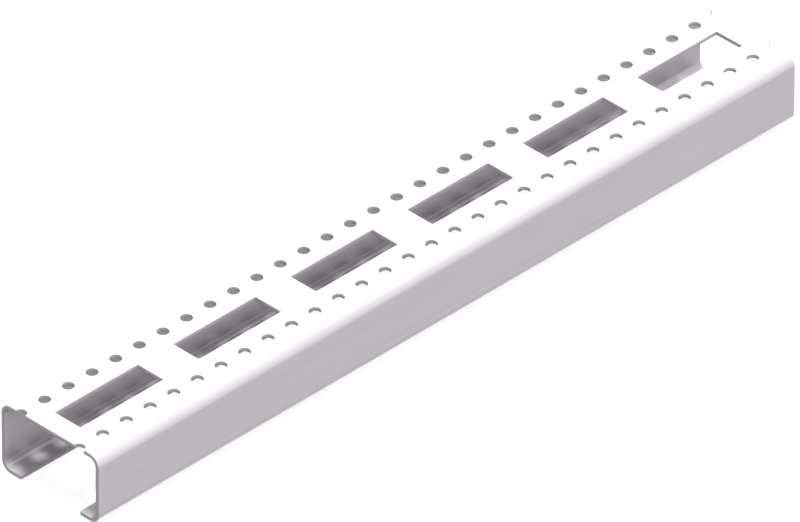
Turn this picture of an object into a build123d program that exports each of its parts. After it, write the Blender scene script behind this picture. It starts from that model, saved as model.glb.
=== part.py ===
"""Slotted strut channel: a short length of cold-rolled steel C channel with a punched web.

Millimetres. X runs along the channel, Y across it, +Z up. The channel lies web up on its two
lips, and the origin is at the middle of its underside.
"""

from build123d import *

import os

# the rolled section
LENGTH = 300.0
WIDTH = 42.0
HEIGHT = 25.0
THICKNESS = 1.4
BEND_RADIUS = 4.0  # outside face of all four bends
MOUTH_WIDTH = 25.4  # clear gap between the tips of the two lips

# rectangular slots along the middle of the web
SLOT_LENGTH = 35.0
SLOT_WIDTH = 11.0
SLOT_PITCH = 50.0

# small round holes in two rows, one beside each edge of the web
HOLE_DIAMETER = 4.0
HOLE_PITCH = 10.0
HOLE_ROW_SPACING = 25.0

# the stock is sheared through the middle of a hole, so each row has half a hole at both ends
slot_count = int(LENGTH // SLOT_PITCH)
hole_count = int(LENGTH // HOLE_PITCH) + 1

with BuildPart() as strut_channel:
    # one strip of sheet bent four times: lip, side, web, side, lip
    with BuildSketch(Plane.YZ.offset(-LENGTH / 2)):
        with BuildLine():
            FilletPolyline(
                (MOUTH_WIDTH / 2, 0),
                (WIDTH / 2, 0),
                (WIDTH / 2, HEIGHT),
                (-WIDTH / 2, HEIGHT),
                (-WIDTH / 2, 0),
                (-MOUTH_WIDTH / 2, 0),
                radius=BEND_RADIUS,
            )
            offset(amount=THICKNESS, side=Side.LEFT)
        make_face()
    extrude(amount=LENGTH)

    # everything punched through the web
    with BuildSketch(Plane.XY.offset(HEIGHT)):
        with GridLocations(SLOT_PITCH, 0, slot_count, 1):
            Rectangle(SLOT_LENGTH, SLOT_WIDTH)
        with GridLocations(HOLE_PITCH, HOLE_ROW_SPACING, hole_count, 2):
            Circle(HOLE_DIAMETER / 2)
    extrude(amount=-THICKNESS, mode=Mode.SUBTRACT)

strut_channel.part.label = "strut_channel"

os.makedirs("parts", exist_ok=True)
export_step(strut_channel.part, "parts/strut_channel.step")
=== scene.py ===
"""Looks for the slotted strut channel: the punched and rolled strip, its zinc, and a soft studio."""

import math

import bpy
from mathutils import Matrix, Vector, geometry


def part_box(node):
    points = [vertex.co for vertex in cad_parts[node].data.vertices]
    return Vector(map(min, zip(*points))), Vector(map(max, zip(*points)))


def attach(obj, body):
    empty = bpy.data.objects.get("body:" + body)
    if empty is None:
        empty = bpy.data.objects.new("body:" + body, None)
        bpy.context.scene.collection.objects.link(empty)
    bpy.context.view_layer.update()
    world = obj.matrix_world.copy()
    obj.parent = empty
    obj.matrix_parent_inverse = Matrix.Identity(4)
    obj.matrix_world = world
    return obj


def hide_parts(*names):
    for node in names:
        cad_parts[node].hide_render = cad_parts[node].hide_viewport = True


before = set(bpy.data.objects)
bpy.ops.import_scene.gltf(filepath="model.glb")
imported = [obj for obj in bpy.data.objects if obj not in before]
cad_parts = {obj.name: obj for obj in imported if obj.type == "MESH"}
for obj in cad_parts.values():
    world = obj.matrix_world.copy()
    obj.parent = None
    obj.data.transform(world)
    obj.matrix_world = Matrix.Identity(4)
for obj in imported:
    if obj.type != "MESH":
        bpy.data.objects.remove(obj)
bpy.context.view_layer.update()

MM = 0.001  # the outline is worked out in millimetres and made in metres
NODE = "strut_channel"
low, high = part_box(NODE)

# the section, as rolled
LENGTH = (high.x - low.x) / MM
WIDTH = (high.y - low.y) / MM
HEIGHT = (high.z - low.z) / MM
THICKNESS = 1.4
BEND_RADIUS = 4.0  # outer face of the four bends
MOUTH_WIDTH = 25.4

# the punching
SLOT_LENGTH = 35.0
SLOT_WIDTH = 11.0
SLOT_PITCH = 50.0
HOLE_RADIUS = 2.0
HOLE_PITCH = 10.0
HOLE_ROW_SPACING = 25.0

# what the press and the shear leave: slightly rounded edges and corners
EDGE_RADIUS = 0.08
CORNER_RADIUS = 0.3

# fineness of the mesh
BEND_STEPS = 16
HOLE_STEPS = 48
CORNER_STEPS = 5
EDGE_STEPS = 3

# ------------------------------------------------------------------ the strip, laid out flat
# A point of the flat strip is (along, across). along is X. across is 0 at the middle of the web and
# runs over the web, round the bends and down to the lips, so that fold() can carry it into space.

QUARTER = math.pi / 2
WEB_HALF = WIDTH / 2 - BEND_RADIUS
BEND_ARC = QUARTER * (BEND_RADIUS - THICKNESS / 2)
SIDE_START = WEB_HALF + BEND_ARC
LOWER_BEND = SIDE_START + HEIGHT - 2 * BEND_RADIUS
LIP_START = LOWER_BEND + BEND_ARC
STRIP_HALF = LIP_START + WEB_HALF - MOUTH_WIDTH / 2


def fold(across):
    """(y, z) on the outer face, and how far that face is turned from facing up, at a place across."""
    reach, side = abs(across), math.copysign(1.0, across)
    if reach <= WEB_HALF:
        return across, HEIGHT, 0.0
    if reach <= SIDE_START:
        turn, centre_z = (reach - WEB_HALF) / BEND_ARC * QUARTER, HEIGHT - BEND_RADIUS
    elif reach <= LOWER_BEND:
        return side * WIDTH / 2, HEIGHT - BEND_RADIUS - (reach - SIDE_START), side * QUARTER
    elif reach <= LIP_START:
        turn, centre_z = QUARTER + (reach - LOWER_BEND) / BEND_ARC * QUARTER, BEND_RADIUS
    else:
        return side * (WEB_HALF - (reach - LIP_START)), 0.0, side * math.pi
    y = side * (WEB_HALF + BEND_RADIUS * math.sin(turn))
    return y, centre_z + BEND_RADIUS * math.cos(turn), side * turn


def arc(centre, radius, start, end, steps, out=1):
    """Points on an arc, each with the direction that leads out of the metal.

    That is away from the arc's centre, or towards it if out is -1.
    """
    found = []
    for i in range(steps + 1):
        angle = start + (end - start) * i / steps
        c, s = math.cos(angle), math.sin(angle)
        found.append(((centre[0] + radius * c, centre[1] + radius * s), (out * c, out * s)))
    return found


def hole_outline(x, y):
    return arc((x, y), HOLE_RADIUS, 0.0, 2 * math.pi, HOLE_STEPS, out=-1)[:-1]


def slot_outline(x):
    found = []
    for i, (sx, sy) in enumerate(((1, 1), (-1, 1), (-1, -1), (1, -1))):
        centre = (x + sx * (SLOT_LENGTH / 2 - CORNER_RADIUS), sy * (SLOT_WIDTH / 2 - CORNER_RADIUS))
        found += arc(centre, CORNER_RADIUS, i * QUARTER, (i + 1) * QUARTER, CORNER_STEPS, out=-1)
    return found


def half_hole(y):
    """The half hole that the shear leaves in the +X end, with a small radius on both sides."""
    end = LENGTH / 2
    reach = HOLE_RADIUS + CORNER_RADIUS
    offset = math.sqrt(reach**2 - CORNER_RADIUS**2)
    lean = math.asin(CORNER_RADIUS / reach)
    before = arc((end - CORNER_RADIUS, y - offset), CORNER_RADIUS, 0.0, QUARTER + lean, CORNER_STEPS)
    round_it = arc((end, y), HOLE_RADIUS, -QUARTER - lean, lean - 3 * QUARTER, HOLE_STEPS // 2, out=-1)
    after = arc((end - CORNER_RADIUS, y + offset), CORNER_RADIUS, -QUARTER - lean, 0.0, CORNER_STEPS)
    return before + round_it[1:-1] + after


def bend_rows():
    """Places across the strip, all in its bends, where the mesh has a line along it."""
    rows = [WEB_HALF + BEND_ARC * i / BEND_STEPS for i in range(BEND_STEPS + 1)]
    rows += [LOWER_BEND + BEND_ARC * i / BEND_STEPS for i in range(BEND_STEPS + 1)]
    return rows


def end_outline():
    """The +X end, from the tip of the -Y lip to the tip of the +Y lip."""
    end, corner = LENGTH / 2, STRIP_HALF - CORNER_RADIUS
    rows = bend_rows()
    found = arc((end - CORNER_RADIUS, -corner), CORNER_RADIUS, -QUARTER, 0.0, CORNER_STEPS)
    found += [((end, -a), (1.0, 0.0)) for a in reversed(rows)]
    found += half_hole(-HOLE_ROW_SPACING / 2) + half_hole(HOLE_ROW_SPACING / 2)
    found += [((end, a), (1.0, 0.0)) for a in rows]
    found += arc((end - CORNER_RADIUS, corner), CORNER_RADIUS, 0.0, QUARTER, CORNER_STEPS)
    return found


def columns():
    """Places along the strip, midway between holes, where the mesh has a line across the bends."""
    count = round(LENGTH / HOLE_PITCH)
    return [(i + 0.5 - count / 2) * HOLE_PITCH for i in range(count)]


def outer_outline():
    """Round the whole strip, anticlockwise from the tip of the -Y lip at the +X end."""
    end = end_outline()
    far_end = [((-p[0], p[1]), (-n[0], n[1])) for p, n in reversed(end)]
    lip = [((x, STRIP_HALF), (0.0, 1.0)) for x in reversed(columns())]
    far_lip = [((x, -STRIP_HALF), (0.0, -1.0)) for x in columns()]
    return end + lip + far_end + far_lip


def openings():
    """Every hole and slot that lies whole in the web."""
    count = round(LENGTH / HOLE_PITCH) - 1
    found = [
        hole_outline((i - (count - 1) / 2) * HOLE_PITCH, side * HOLE_ROW_SPACING / 2)
        for side in (-1, 1)
        for i in range(count)
    ]
    slots = int(LENGTH // SLOT_PITCH)
    found += [slot_outline((i - (slots - 1) / 2) * SLOT_PITCH) for i in range(slots)]
    return found


# ------------------------------------------------------------------ the mesh

def skin_layout(outlines):
    """One face of the strip inside its rounded edges: points, the outlines' own first, and triangles."""
    points, edges, faces = [], [], []
    for outline in outlines:
        first, count = len(points), len(outline)
        points += [(p[0] - n[0] * EDGE_RADIUS, p[1] - n[1] * EDGE_RADIUS) for p, n in outline]
        edges += [(first + i, first + (i + 1) % count) for i in range(count)]
        faces.append(list(range(first, first + count)))
    index = {(round(x, 6), round(a, 6)): i for i, (x, a) in enumerate(points)}

    def line(places):
        """A mesh line through these places."""
        for x, a in places:
            if index.setdefault((round(x, 6), round(a, 6)), len(points)) == len(points):
                points.append((x, a))
        found = [index[round(x, 6), round(a, 6)] for x, a in places]
        edges.extend(zip(found, found[1:]))

    end, tip = LENGTH / 2 - EDGE_RADIUS, STRIP_HALF - EDGE_RADIUS
    for side in (-1, 1):
        for a in bend_rows():
            line([(x, side * a) for x in (-end, *columns(), end)])
        for x in columns():
            line([(x, side * a) for a in (*bend_rows(), tip)])
    made = geometry.delaunay_2d_cdt([Vector(p) for p in points], edges, faces, 1, 1e-6)
    triangles = [t for t, origins in zip(made[2], made[5]) if origins == [0]]
    return points, triangles


def place(along, across, depth, out=(0.0, 0.0), rise=1.0):
    """A point of the folded strip at a depth below its outer face, in metres, and its normal.

    The normal leans from the face (rise 1 or -1) towards out, the flat direction out of the metal.
    """
    y, z, turn = fold(across)
    up_y, up_z = math.sin(turn), math.cos(turn)
    point = Vector((along, y - depth * up_y, z - depth * up_z)) * MM
    normal = Vector((out[0], out[1] * up_z + rise * up_y, rise * up_z - out[1] * up_y))
    return point, normal.normalized()


def strip_mesh():
    outlines = [outer_outline(), *openings()]
    points, triangles = skin_layout(outlines)
    placed, sheared, depths, faces = [], [], [], []

    def add(spot, cut, depth):
        placed.append(spot)
        sheared.append(cut)
        depths.append(depth / THICKNESS)

    for x, a in points:
        add(place(x, a, 0.0), 0.0, 0.0)
    for x, a in points:
        add(place(x, a, THICKNESS, rise=-1.0), 0.0, THICKNESS)
    count = len(points)
    faces += [tuple(t) for t in triangles]
    faces += [tuple(i + count for i in reversed(t)) for t in triangles]

    # the rounded edge, the wall and the rounded edge of each outline, from the outer face to the inner
    start = 0
    for number, outline in enumerate(outlines):
        size, onward = len(outline), 1 if number == 0 else -1
        rings = [range(start, start + size)]
        for step in range(1, 2 * EDGE_STEPS + 1):
            inner = step > EDGE_STEPS
            lean = QUARTER * (2 * EDGE_STEPS + 1 - step if inner else step) / EDGE_STEPS
            inset, sink = EDGE_RADIUS * (1 - math.sin(lean)), EDGE_RADIUS * (1 - math.cos(lean))
            depth, rise = (THICKNESS - sink, -math.cos(lean)) if inner else (sink, math.cos(lean))
            rings.append(range(len(placed), len(placed) + size))
            for p, n in outline:
                out = (n[0] * math.sin(lean), n[1] * math.sin(lean))
                spot = place(p[0] - n[0] * inset, p[1] - n[1] * inset, depth, out, rise)
                add(spot, math.sin(lean), depth)
        rings.append(range(start + count, start + count + size))
        for upper, lower in zip(rings, rings[1:]):
            for i in range(size):
                j = (i + onward) % size
                faces.append((upper[i], lower[i], lower[j], upper[j]))
        start += size

    mesh = bpy.data.meshes.new("channel_strip")
    mesh.from_pydata([p for p, _ in placed], [], faces)
    mesh.shade_smooth()
    mesh.normals_split_custom_set_from_vertices([n for _, n in placed])
    for name, values in (("sheared", sheared), ("depth", depths)):
        mesh.attributes.new(name, "FLOAT", "POINT").data.foreach_set("value", values)
    return mesh


# ------------------------------------------------------------------ materials


class Nodes:
    """A node tree, with short ways to add nodes and to join them."""

    def __init__(self, owner):
        owner.use_nodes = True
        self.tree = owner.node_tree

    def put(self, value, socket):
        """Links a node's output, or sets a plain value."""
        if isinstance(value, bpy.types.NodeSocket):
            self.tree.links.new(value, socket)
        else:
            socket.default_value = value

    def set(self, name, **values):
        """Sets inputs of a node that the tree starts with."""
        for key, value in values.items():
            self.put(value, self.tree.nodes[name].inputs[key.replace("_", " ")])

    def node(self, kind, inputs=(), output=0, **settings):
        made = self.tree.nodes.new(kind)
        for key, value in settings.items():
            setattr(made, key, value)
        for key, value in dict(inputs).items():
            self.put(value, made.inputs[key])
        return made.outputs[output]

    def math(self, operation, *values):
        return self.node("ShaderNodeMath", dict(enumerate(values)), operation=operation)

    def noise(self, scale, detail):
        """Noise from 0 to 1 in the object's own space. scale is features per metre, along X, Y and Z."""
        where = self.node("ShaderNodeTexCoord", output="Object")
        where = self.node("ShaderNodeMapping", {"Vector": where, "Scale": scale})
        return self.node("ShaderNodeTexNoise", {"Vector": where, "Scale": 1.0, "Detail": detail})

    def remap(self, value, low, high, to_low=0.0, to_high=1.0, smooth=False):
        """to_low where value is low or less, to_high where it is high or more."""
        kind = "SMOOTHSTEP" if smooth else "LINEAR"
        inputs = {"Value": value, "From Min": low, "From Max": high}
        inputs.update({"To Min": to_low, "To Max": to_high})
        return self.node("ShaderNodeMapRange", inputs, interpolation_type=kind)

    def scaled(self, value, low, high):
        """Carries 0 to 1 onto low to high."""
        return self.remap(value, 0.0, 1.0, low, high)

    def blend(self, share, first, second):
        """Goes from one number to the other."""
        return self.node("ShaderNodeMix", {0: share, 2: first, 3: second})

    def mix(self, share, first, second):
        """Goes from one colour to the other."""
        made = self.tree.nodes.new("ShaderNodeMix")
        made.data_type = "RGBA"
        for socket, value in ((0, share), (6, first), (7, second)):
            self.put(value, made.inputs[socket])
        return made.outputs[2]

    def attribute(self, name):
        return self.node("ShaderNodeAttribute", attribute_name=name, output="Fac")


ZINC_TINT = (1.0, 0.945, 1.01)  # the faint lilac of new zinc
ZINC_DARK, ZINC_LIGHT, ZINC_LINE = 0.52, 0.57, 0.48
CUT_BURNISHED, CUT_TORN = 0.50, 0.41
METAL_ZINC, METAL_CUT = 0.6, 0.2  # a dull cut scatters light more than the coating does
LINE_SCALE = (14.0, 1500.0, 1500.0)  # features per metre: long along the strip and fine across it
CLOUD_SCALE = (60.0, 110.0, 110.0)
GRAIN_SCALE = (2500.0, 2500.0, 2500.0)
LINE_START, LINE_FULL, LINE_SHARE = 0.45, 0.75, 0.35  # which of the rolling lines are dark, and how dark
TEAR_START, TEAR_FULL, TEAR_RAGGED = 0.38, 0.52, 0.25  # shares of the thickness
ROUGH_SMOOTH, ROUGH_LINED, ROUGH_CLOUD = 0.30, 0.44, 0.03
ROUGH_BURNISHED, ROUGH_TORN = 0.60, 0.75
RELIEF_STRENGTH, RELIEF_DEPTH = 0.06, 0.02
WHITE = (1.0, 1.0, 1.0, 1.0)
FLOOR_GLOW, FLOOR_GREY = 0.90, 0.12  # most of the floor's white is its own, the rest is lit


def tinted(level):
    return (*(level * share for share in ZINC_TINT), 1.0)


def zinc_coated_steel():
    """Bright zinc over cold-rolled strip with its rolling lines, and bare steel where it was sheared."""
    material = bpy.data.materials.new("zinc_coated_steel")
    s = Nodes(material)
    lines = s.noise(LINE_SCALE, detail=3.0)
    clouds = s.noise(CLOUD_SCALE, detail=3.0)
    grain = s.noise(GRAIN_SCALE, detail=1.0)
    zinc = s.mix(clouds, tinted(ZINC_DARK), tinted(ZINC_LIGHT))
    dark_lines = s.remap(lines, LINE_START, LINE_FULL, 0.0, LINE_SHARE)
    zinc = s.mix(dark_lines, zinc, tinted(ZINC_LINE))
    # a cut shows a smoother band next to the outer face, where the punch went in, and a torn one below
    ragged_depth = s.math("ADD", s.attribute("depth"), s.scaled(grain, -TEAR_RAGGED, TEAR_RAGGED))
    torn = s.remap(ragged_depth, TEAR_START, TEAR_FULL, smooth=True)
    cut = s.mix(torn, tinted(CUT_BURNISHED), tinted(CUT_TORN))
    sheared = s.attribute("sheared")
    cloud_rough = s.scaled(clouds, -ROUGH_CLOUD, ROUGH_CLOUD)
    face_rough = s.math("ADD", s.scaled(lines, ROUGH_SMOOTH, ROUGH_LINED), cloud_rough)
    rough = s.blend(sheared, face_rough, s.scaled(torn, ROUGH_BURNISHED, ROUGH_TORN))
    height = s.math("ADD", s.scaled(lines, 0.0, 1.0), s.scaled(grain, 0.0, 0.5))
    relief = {"Strength": RELIEF_STRENGTH, "Distance": RELIEF_DEPTH * MM, "Height": height}
    bump = s.node("ShaderNodeBump", relief, output="Normal")
    s.set("Principled BSDF", Base_Color=s.mix(sheared, zinc, cut), Roughness=rough, Normal=bump)
    s.set("Principled BSDF", Metallic=s.blend(sheared, METAL_ZINC, METAL_CUT))
    return material


def floor_paint():
    """Matt white that glows, so that only a faint shadow lies on it."""
    material = bpy.data.materials.new("floor_paint")
    grey = (FLOOR_GREY, FLOOR_GREY, FLOOR_GREY, 1.0)
    s = Nodes(material)
    s.set("Principled BSDF", Base_Color=grey, Roughness=0.9, Specular_IOR_Level=0.0)
    s.set("Principled BSDF", Emission_Color=WHITE, Emission_Strength=FLOOR_GLOW)
    return material


# ------------------------------------------------------------------ the piece and the studio

FLOOR_HALF = 40.0  # metres, far past any camera's view

# where the tent of light grows lighter: towards which way, from where to where along it, how much
TENT_BASE = 0.14
TENT = (
    ((0.60, 0.35, 0.70), -0.64, -0.14, 0.92),
    ((0.60, 0.35, 0.70), 0.40, 0.95, 0.40),
    ((0.35, 0.45, -0.82), 0.66, 0.92, 1.30),
)
LAMP_STRENGTH, LAMP_SPREAD = 6.8, 11.0  # watts per square metre, and degrees across
LAMP_FROM = (-0.05, -0.165, 0.985)

LENS, SENSOR = 1000.0, 36.0  # a lens long enough to keep parallel edges parallel
FRAME_WIDTH = 243.9  # what the frame spans at the channel
AIM_RIGHT, AIM_UP = -0.74, -0.2  # the frame's middle, from the channel's


def make_channel():
    mesh = strip_mesh()
    piece = bpy.data.objects.new("channel_strip", mesh)
    bpy.context.scene.collection.objects.link(piece)
    mesh.materials.append(zinc_coated_steel())
    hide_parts(NODE)
    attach(piece, "root")


def make_floor():
    mesh = bpy.data.meshes.new("floor")
    corners = [(x * FLOOR_HALF, y * FLOOR_HALF, 0) for x, y in ((-1, -1), (1, -1), (1, 1), (-1, 1))]
    mesh.from_pydata(corners, [], [(0, 1, 2, 3)])
    mesh.materials.append(floor_paint())
    floor = bpy.data.objects.new("floor", mesh)
    floor.location.z = low.z
    bpy.context.scene.collection.objects.link(floor)
    # rays that bounce off the channel pass the floor: its glow doesn't light the channel, and the
    # tent does, from below too
    floor.visible_diffuse = False
    floor.visible_glossy = False


def aim(thing, target):
    thing.rotation_mode = "QUATERNION"
    thing.rotation_quaternion = (target - thing.location).to_track_quat("-Z", "Y")


def make_lights():
    """A soft tent of light all round, and a soft lamp overhead that shines through the holes."""
    world = bpy.data.worlds.new("studio")
    s = Nodes(world)
    where = s.node("ShaderNodeTexCoord", output="Generated")
    light = TENT_BASE
    for way, start, stop, more in TENT:
        both = {0: where, 1: way}
        reach = s.node("ShaderNodeVectorMath", both, output="Value", operation="DOT_PRODUCT")
        light = s.math("ADD", light, s.remap(reach, start, stop, 0.0, more, smooth=True))
    # past the floor's edge the camera sees plain white: the tent only lights the scene
    seen = s.node("ShaderNodeLightPath", output="Is Camera Ray")
    s.set("Background", Color=WHITE, Strength=s.blend(seen, light, 1.0))
    bpy.context.scene.world = world
    data = bpy.data.lights.new("overhead", "SUN")
    data.energy, data.angle = LAMP_STRENGTH, math.radians(LAMP_SPREAD)
    lamp = bpy.data.objects.new("overhead", data)
    lamp.location = Vector(LAMP_FROM)
    lamp.visible_glossy = False
    aim(lamp, Vector((0.0, 0.0, 0.0)))
    bpy.context.scene.collection.objects.link(lamp)


def make_camera():
    """Looks down on the near corner at the isometric angle."""
    data = bpy.data.cameras.new("camera")
    data.lens, data.sensor_width = LENS, SENSOR
    camera = bpy.data.objects.new("camera", data)
    back = Vector((-1.0, -1.0, 1.0)).normalized()
    right = Vector((1.0, -1.0, 0.0)).normalized()
    up = right.cross(-back)
    target = (low + high) / 2 + (AIM_RIGHT * right + AIM_UP * up) * MM
    distance = FRAME_WIDTH * MM * LENS / SENSOR
    data.clip_end = 3 * distance
    camera.location = target + back * distance
    aim(camera, target)
    bpy.context.scene.collection.objects.link(camera)
    bpy.context.scene.camera = camera


make_channel()
make_floor()
make_lights()
make_camera()
bpy.context.scene.view_settings.view_transform = "Standard"
